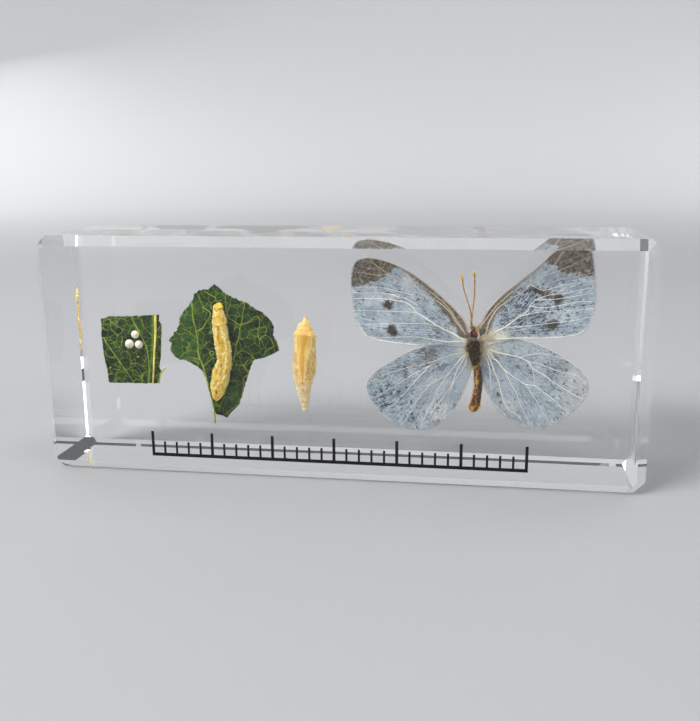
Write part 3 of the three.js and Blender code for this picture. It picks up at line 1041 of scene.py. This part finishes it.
# Each wing: name, outline, hub of its spokes, plane, root, seed, veins, paint, and the two shares
# of its rim between which it is worn and fringed.
WINGS = [
    ("left_forewing", LEFT_FOREWING, (15.5, 33.0), FOREWING_PLANE, (25.6, 28.0), 61, LEFT_FOREWING_VEINS,
     forewing_paint(
         LEFT_FOREWING_VEINS, xz(20,379, 56,387, 84,398, 106,416, 116,430, 300,600), 2.2, 51,
         [(9.7, 34.5, 1.1, 1.2), (10.4, 29.6, 1.0, 1.1), (10.9, 28.7, 0.75, 0.9)],
         (0.7, 1.9, 12, 23), (0.2, 0.5, 9.5, 18.0),
         [(21.2, 33.2, 1.0, 0.55), (22.6, 31.2, 1.0, 0.5), (19.2, 34.9, 0.8, 0.35), (17.2, 35.4, 0.7, 0.45),
          (24.3, 29.2, 0.9, 0.4)],
         [(21, 31.0, 2.6, 0.6), (16.5, 30.0, 2.6, 0.4), (20.0, 28.4, 2.6, 0.55), (16.8, 35.2, 1.4, 0.6),
          (10, 38, 3.0, 0.25), (11, 28.5, 2.0, 0.4)],
         0.6, [(13.5, 39.8, 1.2, 0.45), (24.6, 28.2, 1.2, 0.5)]), (0.40, 0.66)),
    ("right_forewing", RIGHT_FOREWING, (39.0, 34.5), FOREWING_PLANE, (28.4, 28.0), 62, RIGHT_FOREWING_VEINS,
     forewing_paint(
         RIGHT_FOREWING_VEINS, xz(300,600, 392,440, 406,431, 420,427, 430,416, 455,412, 500,406), 1.2, 53,
         [(42.7, 36.2, 1.1, 1.15), (38.4, 38.0, 0.8, 0.9), (40.6, 36.9, 0.9, 0.8), (41.4, 31.0, 1.1, 0.9),
          (42.6, 31.5, 0.8, 0.7), (37.8, 32.9, 0.5, 0.6), (39.4, 37.4, 0.6, 0.7), (36.6, 32.2, 0.5, 0.4),
          (40.0, 33.6, 0.5, 0.4)],
         (0.8, 2.0, 37, 29), (0.2, 0.55, 38.0, 32.0), [],
         [(33, 33.5, 3.4, 0.95), (35, 31.0, 3.0, 0.85), (39, 33.5, 3.5, 0.9), (40, 37, 3.0, 0.8),
          (46, 34, 3.5, 0.55), (36, 36.8, 2.5, 0.8), (41, 30.5, 2.5, 0.6)],
         0.5, [(30.4, 28.5, 1.5, 0.95), (32.6, 28.9, 1.2, 0.6), (46.5, 41.6, 1.0, 0.25)]), (0.44, 0.72)),
    ("left_hindwing", LEFT_HINDWING, (17.5, 17.8), HINDWING_PLANE, (26.0, 25.4), 63, LEFT_HINDWING_VEINS,
     hindwing_paint(
         0.5, [(18.5, 24.6, 1.6, 1.0), (16.0, 23.6, 1.4, 0.8), (15.0, 20.0, 0.9, 0.5)],
         [(23.3, 14.2, 0.5, 0.7), (20.0, 10.7, 0.45, 0.7), (17.6, 9.9, 0.35, 0.6)],
         [(17, 24.4, 2.6, 0.8), (12.0, 21.8, 2.4, 0.6), (19.5, 21.8, 2.4, 0.7), (14.5, 18.6, 2.2, 0.55),
          (8.0, 14.8, 2.6, 0.8), (14.5, 11.3, 2.6, 0.7), (9, 18.5, 2.4, 0.6), (19.5, 13.5, 2.2, 0.6),
          (12.0, 15.0, 2.4, 0.5)],
         0.0, [(25.6, 25.6, 1.5, 0.8), (20.5, 14.0, 1.5, 0.35), (19.5, 11.5, 1.6, 0.35)]), (0.33, 0.78)),
    ("right_hindwing", RIGHT_HINDWING, (37.5, 18.8), HINDWING_PLANE, (28.6, 25.4), 64, RIGHT_HINDWING_VEINS,
     hindwing_paint(
         0.28, [(42.5, 23.0, 3.2, 1.0), (44.5, 19.5, 3.0, 0.5)],
         [(31.9, 16.6, 0.55, 0.85), (32.4, 15.0, 0.4, 0.85), (35.4, 22.4, 0.6, 0.6),
          (30.4, 21.4, 0.7, 0.35)],
         [(42, 22.5, 3.5, 0.5), (32, 26, 2.5, 0.4), (31, 22.5, 2.0, 0.6), (44, 18, 4.0, 0.3),
          (36, 24, 2.5, 0.3), (33, 18, 3.0, 0.25)],
         0.4, [(29.6, 26.0, 1.8, 1.0), (34.5, 14.5, 2.5, 0.2)]), (0.38, 0.80)),
]
FRINGE_HAIRS = 420
RIM_PLACES = 2000


def fringe(outline, hub, lift, start, stop, seed):
    """Short hair scales that stand out from the rim between two shares of its length."""
    draw = np.random.default_rng(seed)
    rim = smooth_line(outline, RIM_PLACES, closed=True)
    pick = (draw.uniform(start, stop, FRINGE_HAIRS) * RIM_PLACES).astype(int) % RIM_PLACES
    root = rim[pick]
    tangent = rim[(pick + 1) % RIM_PLACES] - rim[pick - 1]
    out = np.stack([tangent[:, 1], -tangent[:, 0]], axis=1)
    out /= np.linalg.norm(out, axis=1, keepdims=True)
    outward = np.sign(((root - hub) * out).sum(axis=1, keepdims=True))
    out = out * outward + 0.35 * draw.normal(size=out.shape)
    aims = upright(out, 0.15 * draw.normal(size=FRINGE_HAIRS))
    roots = upright(root, lift(*root.T)) - 0.15 * aims
    return hairs(roots, aims, draw.uniform(0.25, 0.5, FRINGE_HAIRS), 0.035, (0, 0, 0), seed + 1)


def wings():
    """Thin sheets with their veins and fringes. The worn part of each rim is ragged."""
    scales = wing_scales()
    vein = wing_vein()
    down = insect_hair("wing_fringe", tone(0.42, 0.50, 0.60), tone(0.86, 0.88, 0.90))
    columns = 360
    share = np.arange(columns) / columns
    for name, outline, hub, level, root, seed, veins, paint, (start, stop) in WINGS:
        lift = wing_lift(level, root, seed)
        worn = ease(start - 0.03, start + 0.02, share) * ease(stop + 0.03, stop - 0.02, share)
        ragged = worn * (0.10 * ripples(60 * share[:, None], 0.55, seed + 10) + 0.05)
        blade = sheet(outline, hub, WING_THICK, lift, 60, columns, ragged, fan_out(paint, root), WING_CURL)
        piece(name, [blade], scales)
        ribs = [ribs_on(lift, [(radius, line)], 0.04, tan, root)[0] for radius, tan, line in veins]
        piece(name + "_veins", ribs, vein)
        piece(name + "_fringe", [fringe(outline, hub, lift, start, stop, seed + 20)], down)


# Body lines as (x, z, radius) along their middles, and antennae as lines.
THORAX = [(26.95, 27.9, 0.55), (26.95, 27.3, 1.0), (26.95, 26.3, 1.2), (27.0, 25.2, 1.2), (27.15, 24.0, 1.0),
          (27.3, 23.0, 0.8), (27.35, 22.5, 0.62)]
ABDOMEN = [(27.35, 23.0, 0.6), (27.5, 22.2, 0.8), (27.65, 21.2, 0.85), (27.8, 19.8, 0.88), (27.85, 18.2, 0.9),
           (27.7, 16.9, 0.93), (27.5, 15.6, 1.0), (27.35, 14.7, 1.1), (27.25, 13.9, 1.0), (27.1, 13.3, 0.7),
           (27.0, 12.95, 0.25)]
HEAD = [(26.75, 29.9, 0.25), (26.75, 29.5, 0.62), (26.8, 29.0, 0.78), (26.85, 28.5, 0.75), (26.9, 28.0, 0.45)]
PALPS = [[(27.35, 28.9, 0.22), (27.55, 29.9, 0.25), (27.75, 31.1, 0.05)],
         [(27.15, 29.3, 0.2), (27.35, 30.1, 0.2), (27.45, 30.7, 0.05)]]
CLASPERS = [xz(266,153, 262,145, 262.5,136, 267.5,130, 272,128.5),
            xz(284,150, 284.5,143, 281,136, 276,131.5)]
LEFT_ANTENNA = xz(241,406.5, 243,400, 245.5,381, 254,355, 261.5,330, 261.5,310, 264,296)
RIGHT_ANTENNA = xz(264.5,414, 266,407, 267,387, 266.5,361, 264,330, 263,310, 265,296)
BODY_DEPTH = -0.5
EYE_RADIUS, EYE_HEIGHT = 0.47, 29.1


def long_body(line, depth, squash, rings, sides, seed, bands, wrinkle, tip_glow=0.0):
    """A body segment: a tube along its middle line, ringed bands times and creased by wave noise,
    with a value of painted shade in its ring dips, its crease hollows, the hollow at its tip and
    down its right side, a pale value of painted highlight on its left crease tops and left side, and
    a pale rim round its far end where tip_glow is 1."""
    line = smooth_line(line, rings)
    path = upright(line, depth)
    share = np.linspace(0, 1, rings)[:, None]
    angle = angles(sides)
    side_on = np.cos(angle)
    bulge = 0.5 + 0.5 * np.cos(2 * np.pi * bands * share + 0.5 * side_on)
    place = around(angle, path[:, None, 2], 1.4, 0.5)
    crease = creased(place, 0.9, seed)
    noise = ripples(place * (1, 1, 3), 0.8, seed + 1)
    relief = 1 - 0.05 * bulge**4 + wrinkle * (crease - 0.6) + 0.5 * wrinkle * noise
    # Painted shade: darker in the dips between the rings, in the crease hollows and down the right side.
    fold = 0.45 * bulge**6 + 0.8 * ease(0.5, 0.1, crease) + 0.75 * ease(0.2, 0.9, np.cos(angle + 0.4))
    # Painted highlight: paler on the crease tops of the left half and along the left side.
    pale = ease(0.7, 1.0, crease) * ease(0.6, -0.6, side_on) + 0.6 * ease(-0.7, -0.98, side_on)
    tip = ease(0.83, 0.9, share) * tip_glow
    # Near the tip the painted shade falls in the hollow of its hook.
    fold = fold * (1 - tip) + tip * np.exp(-((share - 0.89) / 0.045)**2 - (side_on - 0.25)**2 / 0.3)
    pale = np.maximum(pale, tip * ease(0.25, 0.7, np.abs(np.cos(angle - 0.3))))
    return tube(path, line[:, 2], squash * line[:, 2], sides=sides, relief=relief,
                values={"fold": unit(fold), "pale": unit(pale)})


def butterfly_body():
    """Thorax, abdomen with its claspers, head, round eyes, jointed antennae with clubs, and palps."""
    dark = thorax_skin()
    amber = abdomen_skin()
    piece("thorax", [long_body(THORAX, BODY_DEPTH, 1.05, 90, 64, 71, 3, 0.07)], dark)
    piece("abdomen", [long_body(ABDOMEN, BODY_DEPTH + 0.1, 0.95, 160, 72, 72, 8, 0.09, 1.0)], amber)
    swell = np.sin(np.linspace(0.3, np.pi - 0.15, 50))
    claspers = [tube(upright(smooth_line(line, 50), BODY_DEPTH - 0.3), 0.2 * swell, 0.5 * swell, sides=18,
                     values={"pale": 0.8, "fold": 0.0}) for line in CLASPERS]
    piece("abdomen_tip", claspers, amber)
    piece("head", [long_body(HEAD, BODY_DEPTH, 0.95, 40, 40, 73, 0, 0.04)], dark)
    facets = eye_skin()
    turn = np.linspace(0, np.pi, 28)
    for name, x, depth in (("left_eye", 26.45, 0.15), ("right_eye", 26.95, -1.05)):
        path = np.stack(np.broadcast_arrays(x, BODY_DEPTH + depth - 0.45 * np.cos(turn), EYE_HEIGHT), axis=1)
        ball = tube(path, EYE_RADIUS * np.maximum(np.sin(turn), 0.02), sides=32, up=(0, 0, 1))
        piece(name, [ball], facets)
    golden = antenna_skin()
    steps = 160
    share = np.linspace(0, 1, steps)
    club = bell((share - 0.028) / 0.034)
    radius = (0.115 + 0.02 * share + 0.20 * club) * (1 + 0.07 * np.cos(2 * np.pi * 30 * share))
    radius[0] = 0.05
    for name, line, lean in (("left_antenna", LEFT_ANTENNA, 0.0), ("right_antenna", RIGHT_ANTENNA, 0.16)):
        path = upright(smooth_line(line, steps), BODY_DEPTH - 0.3 - lean - 0.3 * np.sin(np.pi * share))
        piece(name, [tube(path, radius, sides=16, values={"club": unit(1.3 * club)[:, None]})], golden)
    palps = []
    for line in PALPS:
        path = smooth_line(line, 24)
        palps.append(tube(upright(path, BODY_DEPTH - 0.6), path[:, 2], sides=14, values={"tone": 0.6}))
    piece("palps", palps, insect_hair("palp", tone(0.26, 0.11, 0.04), tone(0.62, 0.36, 0.15)))


def tuft(centre, spread, aim, fan, length, count, width, seed, stand=0.0):
    """Hairs whose roots scatter round centre, stand in front of the body's middle, and whose aims
    scatter round aim."""
    draw = np.random.default_rng(seed)
    middle = (centre[0], BODY_DEPTH - stand, centre[1])
    roots = np.stack([at + width * draw.normal(size=count) for at, width in zip(middle, spread)], axis=1)
    aims = np.asarray(aim, float) + fan * draw.normal(size=(count, 3))
    bend = 0.25 * draw.normal(size=(count, 3))
    return hairs(roots, aims, length * draw.uniform(0.5, 1.2, count), width, bend, seed + 1)


CREAM = insect_hair("cream_hair", tone(0.70, 0.55, 0.30), tone(1.0, 0.95, 0.80))
BROWN = insect_hair("brown_hair", tone(0.008, 0.005, 0.003), tone(0.085, 0.042, 0.014))
GOLD = insect_hair("golden_hair", tone(0.30, 0.15, 0.03), tone(0.80, 0.55, 0.20))
GREY = insect_hair("grey_hair", tone(0.10, 0.07, 0.04), tone(0.62, 0.55, 0.42))

# Each row of a piece of hair is one tuft, in the order that tuft() takes its numbers.
BODY_HAIR = [
    ("right_wing_root_hair", CREAM, [
        ((28.2, 27.9), (0.3, 0.15, 0.3), (1.0, -0.12, 0.22), 0.18, 2.8, 90, 0.08, 81),
        ((28.2, 26.6), (0.25, 0.15, 0.5), (1.0, -0.15, -0.12), 0.3, 1.5, 80, 0.07, 83),
        ((28.3, 25.3), (0.2, 0.15, 0.4), (0.8, -0.2, -0.5), 0.35, 1.1, 60, 0.065, 85)]),
    ("left_wing_root_hair", CREAM, [
        ((25.8, 27.3), (0.25, 0.15, 0.3), (-1.0, -0.12, 0.1), 0.25, 1.1, 50, 0.065, 87),
        ((26.0, 25.2), (0.2, 0.15, 0.6), (-0.9, -0.15, -0.45), 0.3, 1.2, 60, 0.06, 89),
        ((26.5, 23.2), (0.15, 0.15, 0.4), (-0.3, -0.2, -1.0), 0.25, 1.5, 50, 0.06, 91)]),
    ("thorax_hair", BROWN, [
        ((26.95, 25.6), (0.7, 0.2, 1.2), (0.0, -1.0, -0.6), 0.5, 0.6, 500, 0.035, 93, 0.95),
        ((25.8, 26.0), (0.15, 0.2, 1.0), (-0.8, -0.4, -0.3), 0.4, 0.7, 160, 0.035, 94),
        ((28.1, 25.8), (0.15, 0.2, 1.0), (0.8, -0.4, -0.3), 0.4, 0.6, 120, 0.035, 95)]),
    ("golden_hair", GOLD, [
        ((27.0, 26.0), (0.75, 0.12, 1.3), (0.1, -0.3, -1.0), 0.4, 0.9, 90, 0.035, 103, 1.1),
        ((27.6, 22.9), (0.5, 0.2, 0.3), (0.2, -0.6, -1.0), 0.4, 0.9, 60, 0.045, 105, 0.5)]),
    ("head_hair", GREY, [
        ((26.6, 30.0), (0.25, 0.2, 0.2), (0.0, -0.4, 1.0), 0.35, 0.7, 120, 0.04, 97, 0.4),
        ((26.95, 28.0), (0.35, 0.15, 0.15), (0.0, -0.9, -0.2), 0.5, 0.55, 160, 0.045, 99, 0.9),
        ((26.0, 28.5), (0.12, 0.2, 0.45), (-0.35, -0.5, 0.3), 0.35, 0.7, 90, 0.045, 101)]),
]


def body_hair():
    for name, material, tufts in BODY_HAIR:
        piece(name, [tuft(*numbers) for numbers in tufts], material)


# ---------------------------------------- printed scale

SCALE_LEFT, SCALE_RIGHT, SCALE_BASE = -37.5, 37.5, 4.2
TICK_GAP = 2.5
LINE_HALF = 0.35
INK = 0.03
INK_SINK = 0.002


def printed_scale():
    """A ruled scale in place of a caption: a base line and evenly set ticks, every fifth one longer
    and thicker, all thin flat boxes on the display face."""
    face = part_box("resin_block")[0][1] / MM
    bars = [(SCALE_LEFT - 0.3, SCALE_RIGHT + 0.3, SCALE_BASE - LINE_HALF, SCALE_BASE + LINE_HALF)]
    for number, x in enumerate(np.arange(SCALE_LEFT, SCALE_RIGHT + 0.1, TICK_GAP)):
        tall, thick = (4.9, 0.3) if number % 5 == 0 else (2.8, 0.22)
        bars.append((x - thick, x + thick, SCALE_BASE + LINE_HALF, SCALE_BASE + tall))
    shapes = []
    for low_x, high_x, low_z, high_z in bars:
        ring = np.array([(low_x, low_z), (high_x, low_z), (high_x, high_z), (low_x, high_z)])
        shapes.append(skin(np.stack([upright(ring, face - INK_SINK), upright(ring, face - INK)])))
    piece("printed_scale", shapes, printed_ink(), smooth=False)


# ---------------------------------------- stage, lights and camera

FLOOR_FLAT, FLOOR_SWEEP, FLOOR_RISE, FLOOR_GAP = 0.9, 0.7, 0.7, 0.00005


def stage():
    """A pale floor that sweeps up all round, far from the block: flat rings, then a quarter circle.
    It is paler far away: painted light that brightens the swept-up wall."""
    bend = np.linspace(0.05, np.pi / 2, 16)
    swept = FLOOR_FLAT + FLOOR_SWEEP * np.sin(bend)
    radius = np.concatenate([[0.02], np.linspace(0.2, FLOOR_FLAT, 8), swept])
    height = np.concatenate([np.zeros(9), FLOOR_RISE * (1 - np.cos(bend))]) - FLOOR_GAP
    turn = angles(96)
    rows = np.stack(np.broadcast_arrays(radius[:, None] * np.cos(turn), radius[:, None] * np.sin(turn),
                                        height[:, None]), axis=-1)
    rings, sides, _ = rows.shape
    near, beside = ring_corners(rings, sides)
    quads = np.stack([near, near + sides, beside + sides, beside], axis=1)
    mesh = bpy.data.meshes.new("floor")
    mesh.from_pydata(rows.reshape(-1, 3).tolist(), [], quads.tolist() + [list(range(sides))])
    mesh.polygons.foreach_set("use_smooth", np.full(len(mesh.polygons), True))
    floor = bpy.data.objects.new("floor", mesh)
    bpy.context.collection.objects.link(floor)
    s = Surface("pale_floor")
    away = s.fill(s.node("VectorMath", operation="LENGTH"), s.place()).outputs["Value"]
    s.ground = tone(0.25, 0.253, 0.26)
    # Painted light: paler from 0.3 m out, so the swept-up wall looks brighter than the lamps make it.
    s.over(s.window(away, 0.3, 1.3), tone(0.62, 0.625, 0.64))
    mesh.materials.append(s.done(Roughness=0.85, Specular_IOR_Level=0.2))
    floor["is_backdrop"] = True


# Soft boxes: name, place and size in metres, and power.
LAMPS = [("key", (-0.66, -0.60, 0.80), (0.60, 0.50), 25.0),
         ("fill", (0.85, -0.50, 0.62), (0.6, 0.7), 4.5),
         ("top", (0.0, 0.10, 1.0), (1.1, 0.8), 7.0),
         ("back_left", (-0.85, 0.75, 0.62), (0.9, 0.8), 4.5),
         ("back_right", (0.85, 0.80, 0.62), (0.9, 0.8), 4.5)]
LAMP_TARGET = Vector((0, 0, 0.02))


def lights():
    """A key and a fill in front, a large box above, two behind, and a dim even world. Each box faces
    the block, and the glass sees it but the camera itself doesn't."""
    for name, place, size, power in LAMPS:
        data = bpy.data.lights.new(name, "AREA")
        data.shape = "RECTANGLE"
        data.size, data.size_y = size
        data.energy = power
        made = bpy.data.objects.new(name, data)
        made.location = place
        made.rotation_euler = (LAMP_TARGET - Vector(place)).to_track_quat("-Z", "Y").to_euler()
        made.visible_camera = False
        bpy.context.collection.objects.link(made)
    world = bpy.data.worlds.new("studio")
    world.use_nodes = True
    glow = world.node_tree.nodes["Background"].inputs
    glow["Color"].default_value = tone(0.93, 0.96, 1.0)
    glow["Strength"].default_value = 0.13
    scene = bpy.context.scene
    scene.world = world
    scene.view_settings.view_transform = "Standard"
    scene.cycles.max_bounces = 24
    scene.cycles.transmission_bounces = 24
    scene.cycles.glossy_bounces = 16


CAMERA_PLACE = (28.67, -175.86, 63.55)
CAMERA_YAW, CAMERA_PITCH, CAMERA_ROLL = -8.911, 13.268, -0.452
CAMERA_LENS, CAMERA_SENSOR, CAMERA_NEAR = 43.475, 36, 0.005


def camera():
    """The camera stands in front of the block's right half and looks a little left and down."""
    yaw, pitch, roll = (math.radians(a) for a in (CAMERA_YAW, CAMERA_PITCH, CAMERA_ROLL))
    ahead = Vector((math.sin(yaw) * math.cos(pitch), math.cos(yaw) * math.cos(pitch), -math.sin(pitch)))
    level = Vector((math.cos(yaw), -math.sin(yaw), 0))
    over = level.cross(ahead)
    right = level * math.cos(roll) + over * math.sin(roll)
    up = over * math.cos(roll) - level * math.sin(roll)
    data = bpy.data.cameras.new("camera")
    data.lens = CAMERA_LENS
    data.sensor_width = CAMERA_SENSOR
    data.clip_start = CAMERA_NEAR
    made = bpy.data.objects.new("camera", data)
    turn = Matrix((right, up, -ahead)).transposed().to_4x4()
    made.matrix_world = Matrix.Translation(Vector(CAMERA_PLACE) * MM) @ turn
    bpy.context.collection.objects.link(made)
    bpy.context.scene.camera = made


def numbers(box):
    return [[float(v) for v in corner] for corner in box]


camera()
stage()
lights()
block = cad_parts["resin_block"]
block.data.materials.clear()
block.data.materials.append(resin())
green, ribs = leaf_skin(), leaf_vein()
leaf_square(green, ribs)
eggs()
big_leaf(green, ribs)
larva()
chrysalis()
wings()
butterfly_body()
body_hair()
printed_scale()

{"cad": numbers(cad_box), "visual": numbers(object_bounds())}
